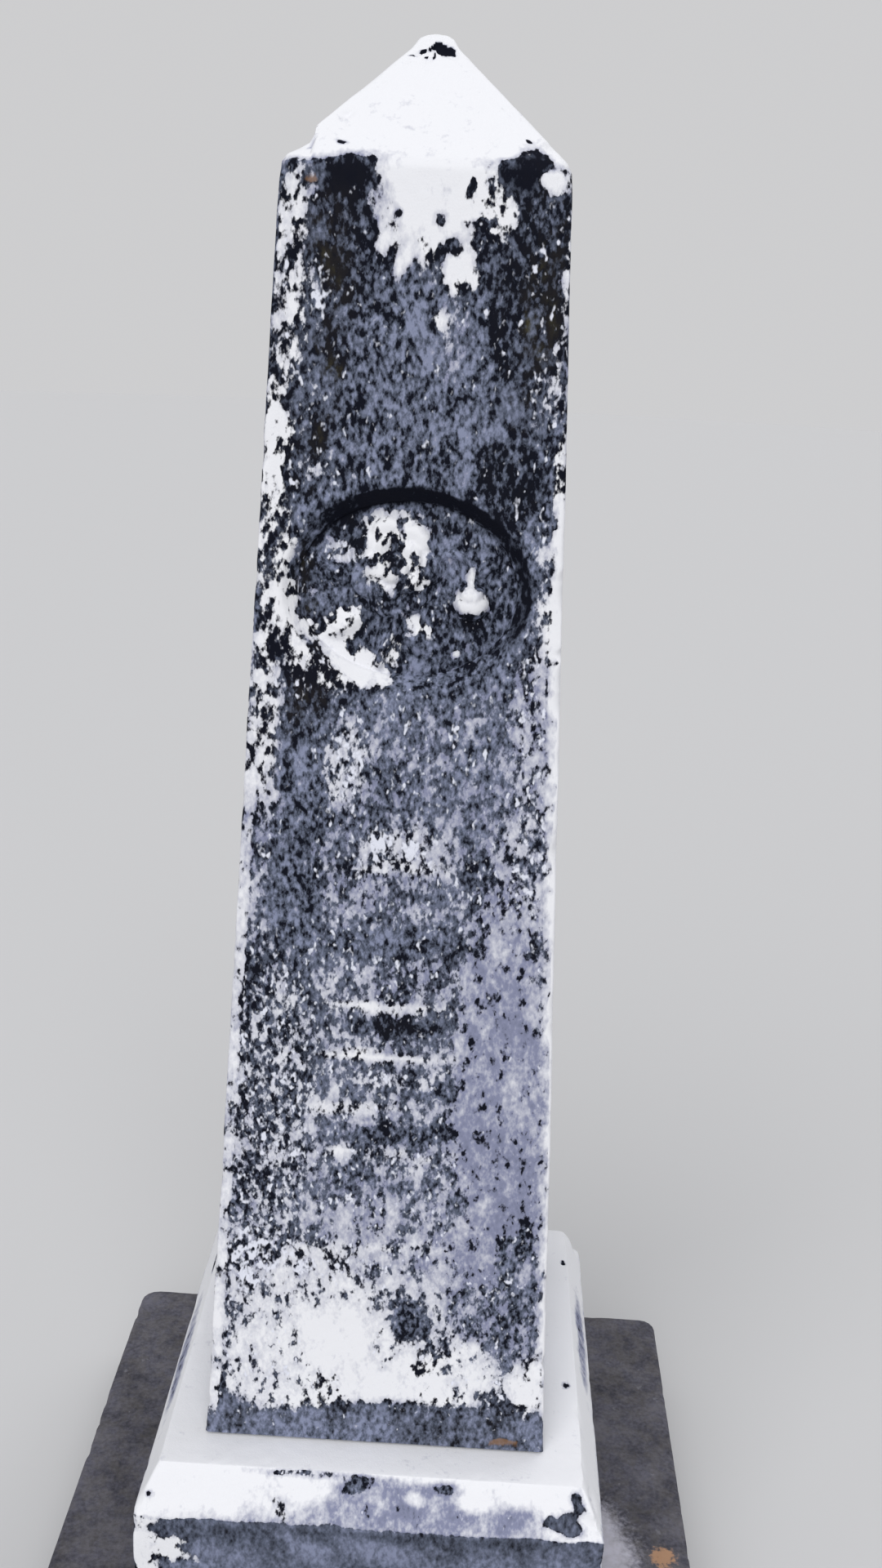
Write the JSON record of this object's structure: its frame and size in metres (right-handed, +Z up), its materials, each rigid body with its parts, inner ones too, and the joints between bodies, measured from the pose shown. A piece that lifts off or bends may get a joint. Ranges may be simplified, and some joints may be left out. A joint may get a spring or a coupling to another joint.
{
  "type": "obelisk headstone",
  "caption": "Tapered square marble obelisk headstone with a pointed cap and a sunk oval panel with a carved rose, on a washed base and a foundation stone.",
  "frame": {"origin": "middle of the foundation stone's underside, at ground level", "axes": "+Z up, the carved face towards -Y, +X to the right of a person facing the carving"},
  "size_m": [0.75, 0.75, 1.7341],
  "materials": {
    "white_marble": "weathered, matt, with dark lichen",
    "grey_stone": "sawn top, pitched sides, weathered",
    "lime_mortar": "rough, matt"
  },
  "bodies": {
    "root": {"foundation_stone": "grey_stone", "foundation_mortar_bed": "lime_mortar", "marble_base": "white_marble", "shaft_setting_bed": "lime_mortar", "obelisk_shaft": "white_marble"}
  },
  "joints": []
}
